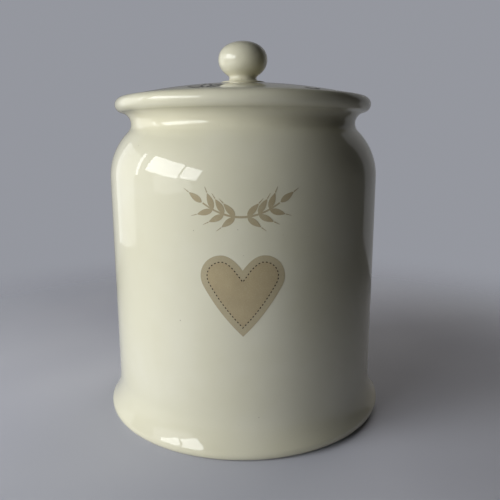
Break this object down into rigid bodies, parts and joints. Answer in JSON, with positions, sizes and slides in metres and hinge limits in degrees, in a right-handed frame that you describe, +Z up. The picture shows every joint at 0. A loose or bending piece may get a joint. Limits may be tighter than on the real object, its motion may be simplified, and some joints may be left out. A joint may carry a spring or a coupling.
{
  "type": "bread crock with lid",
  "caption": "Tall round glazed ceramic bread crock with a flared foot, a rolled lip and a lift-off domed lid with a ball knob.",
  "frame": {"origin": "centre of the foot ring, on the surface that the crock stands on", "axes": "+Z up along the crock's axis; the front with its transfers faces -Y; +X is to the right seen from the front"},
  "size_m": [0.256, 0.256, 0.33],
  "materials": {
    "crock_glaze": "gloss",
    "lid_glaze": "gloss",
    "knob_glaze": "gloss",
    "silicone": "satin",
    "taupe_transfer": "gloss"
  },
  "bodies": {
    "crock": {"crock": "crock_glaze", "heart_transfer": "taupe_transfer", "wheat_transfer": "taupe_transfer"},
    "seal": {"lid_seal": "silicone"},
    "lid": {"lid": "lid_glaze", "knob": "knob_glaze"}
  },
  "joints": [
    {"name": "lid_lift", "type": "slide", "parent": "crock", "child": "seal", "axis": [0, 0, 1], "range_m": [0, 0.15]},
    {"name": "lid_turn", "type": "hinge", "parent": "seal", "child": "lid", "pos_m": [0, 0, 0.2757], "axis": [0, 0, 1], "continuous": true}
  ]
}
